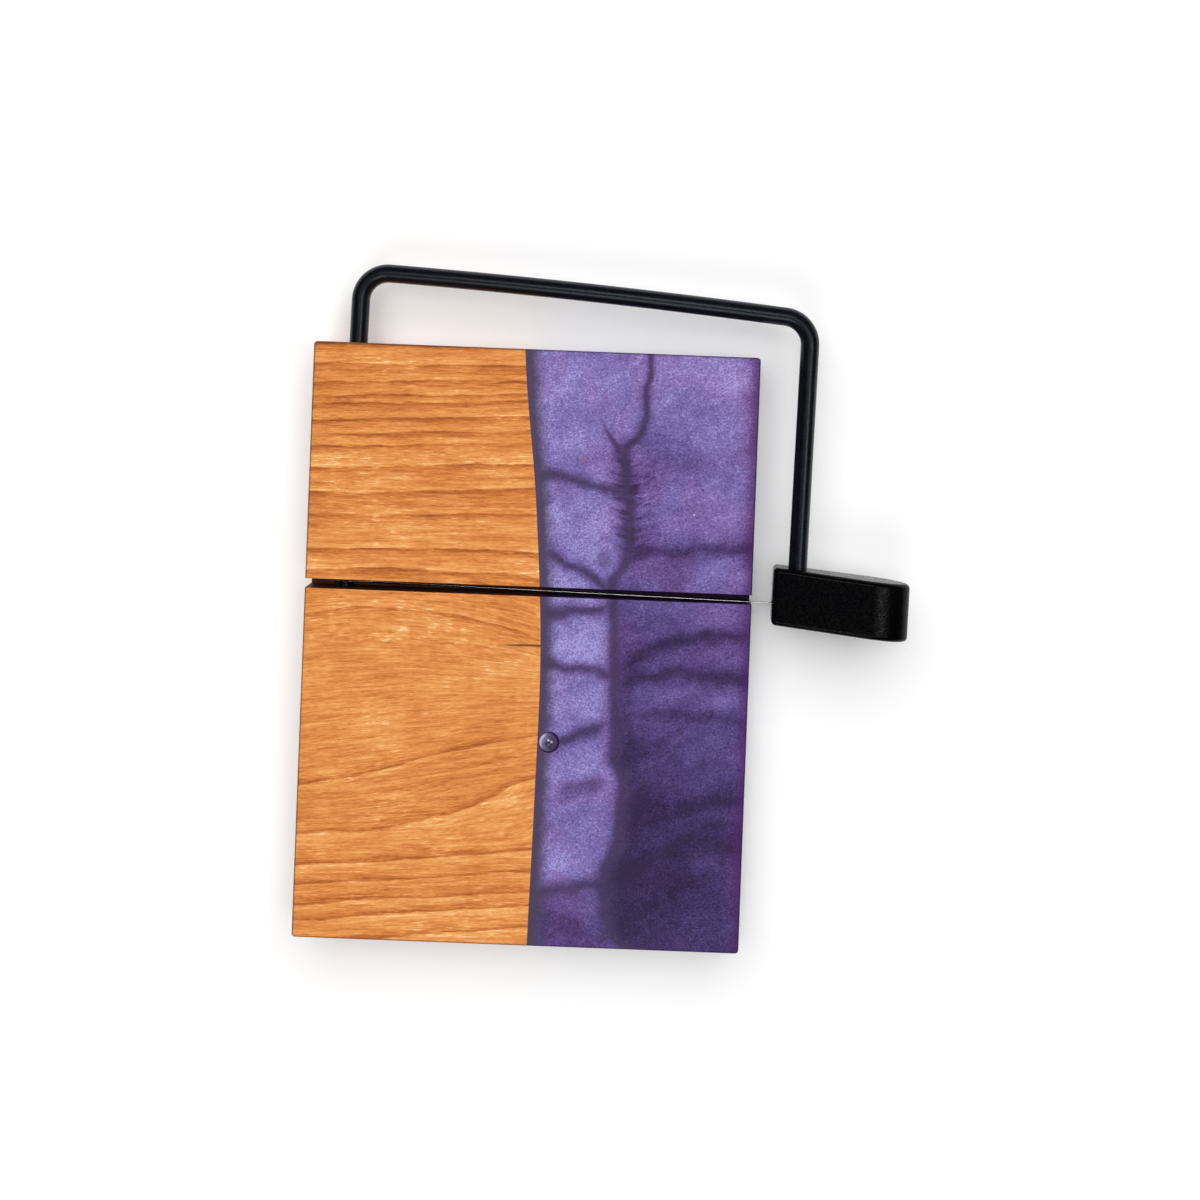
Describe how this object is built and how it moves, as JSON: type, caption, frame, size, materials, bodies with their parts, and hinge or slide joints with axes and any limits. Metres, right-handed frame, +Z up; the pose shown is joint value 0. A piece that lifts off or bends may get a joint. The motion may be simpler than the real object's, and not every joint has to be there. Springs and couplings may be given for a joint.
{
  "type": "cheese slicing board",
  "caption": "Rectangular wood and resin board with a slot across it and a hinged bent-rod arm that draws a taut steel wire down into the slot by a side handle.",
  "frame": {"origin": "centre of the board's flat top, the cutting surface", "axes": "+Z up, out of the cutting surface; +Y towards the arm's cross bar; +X towards the handle"},
  "size_m": [0.2059, 0.2306, 0.0332],
  "materials": {
    "cherry": "oiled, grain across the board",
    "purple_resin": "pearl pigment, polished",
    "clear_resin": "clear, glossy",
    "black_coated_rod": "satin powder coat",
    "black_plastic": "fine moulded grain",
    "steel_wire": "drawn stainless wire",
    "rubber": "matte",
    "zinc_steel": "zinc plated"
  },
  "bodies": {
    "board": {"cherry_panel": "cherry", "resin_panel": "purple_resin", "clear_dome": "clear_resin", "foot_front_left": "rubber", "foot_front_right": "rubber", "foot_back_left": "rubber", "foot_back_right": "rubber", "foot_washer_front_left": "zinc_steel", "foot_washer_front_right": "zinc_steel", "foot_washer_back_left": "zinc_steel", "foot_washer_back_right": "zinc_steel", "foot_screw_front_left": "zinc_steel", "foot_screw_front_right": "zinc_steel", "foot_screw_back_left": "zinc_steel", "foot_screw_back_right": "zinc_steel"},
    "arm": {"slicer_arm": "black_coated_rod", "handle": "black_plastic", "cutting_wire": "steel_wire"}
  },
  "joints": [
    {"name": "arm_swing", "type": "hinge", "parent": "board", "child": "arm", "pos_m": [-0.064, 0.0191, -0.0095], "axis": [-0.0175, -0.9998, 0], "range_deg": [-4, 177.9]}
  ]
}
